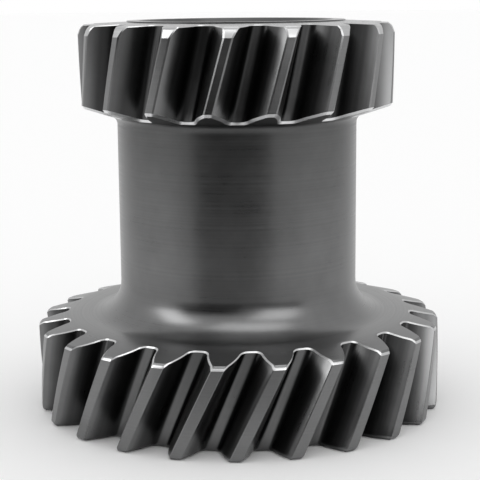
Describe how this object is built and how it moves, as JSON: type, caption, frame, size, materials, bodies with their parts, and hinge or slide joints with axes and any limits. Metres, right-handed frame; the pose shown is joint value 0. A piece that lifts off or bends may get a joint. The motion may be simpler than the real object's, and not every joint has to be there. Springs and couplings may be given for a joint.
{
  "type": "double gear",
  "caption": "One-piece double gear: a wide helical gear and a smaller helical gear joined by a plain round hub, on one through bore.",
  "frame": {"origin": "centre of the bore in the flat bottom face of the wide gear", "axes": "+Z along the bore axis from the wide gear up to the small gear, -Y towards the viewer of the picture"},
  "size_m": [0.0885, 0.0884, 0.0843],
  "materials": {
    "steel": "dark, smoothly machined and hardened steel with bright bevelled tooth edges"
  },
  "bodies": {
    "root": {"double_gear": "steel"}
  },
  "joints": []
}
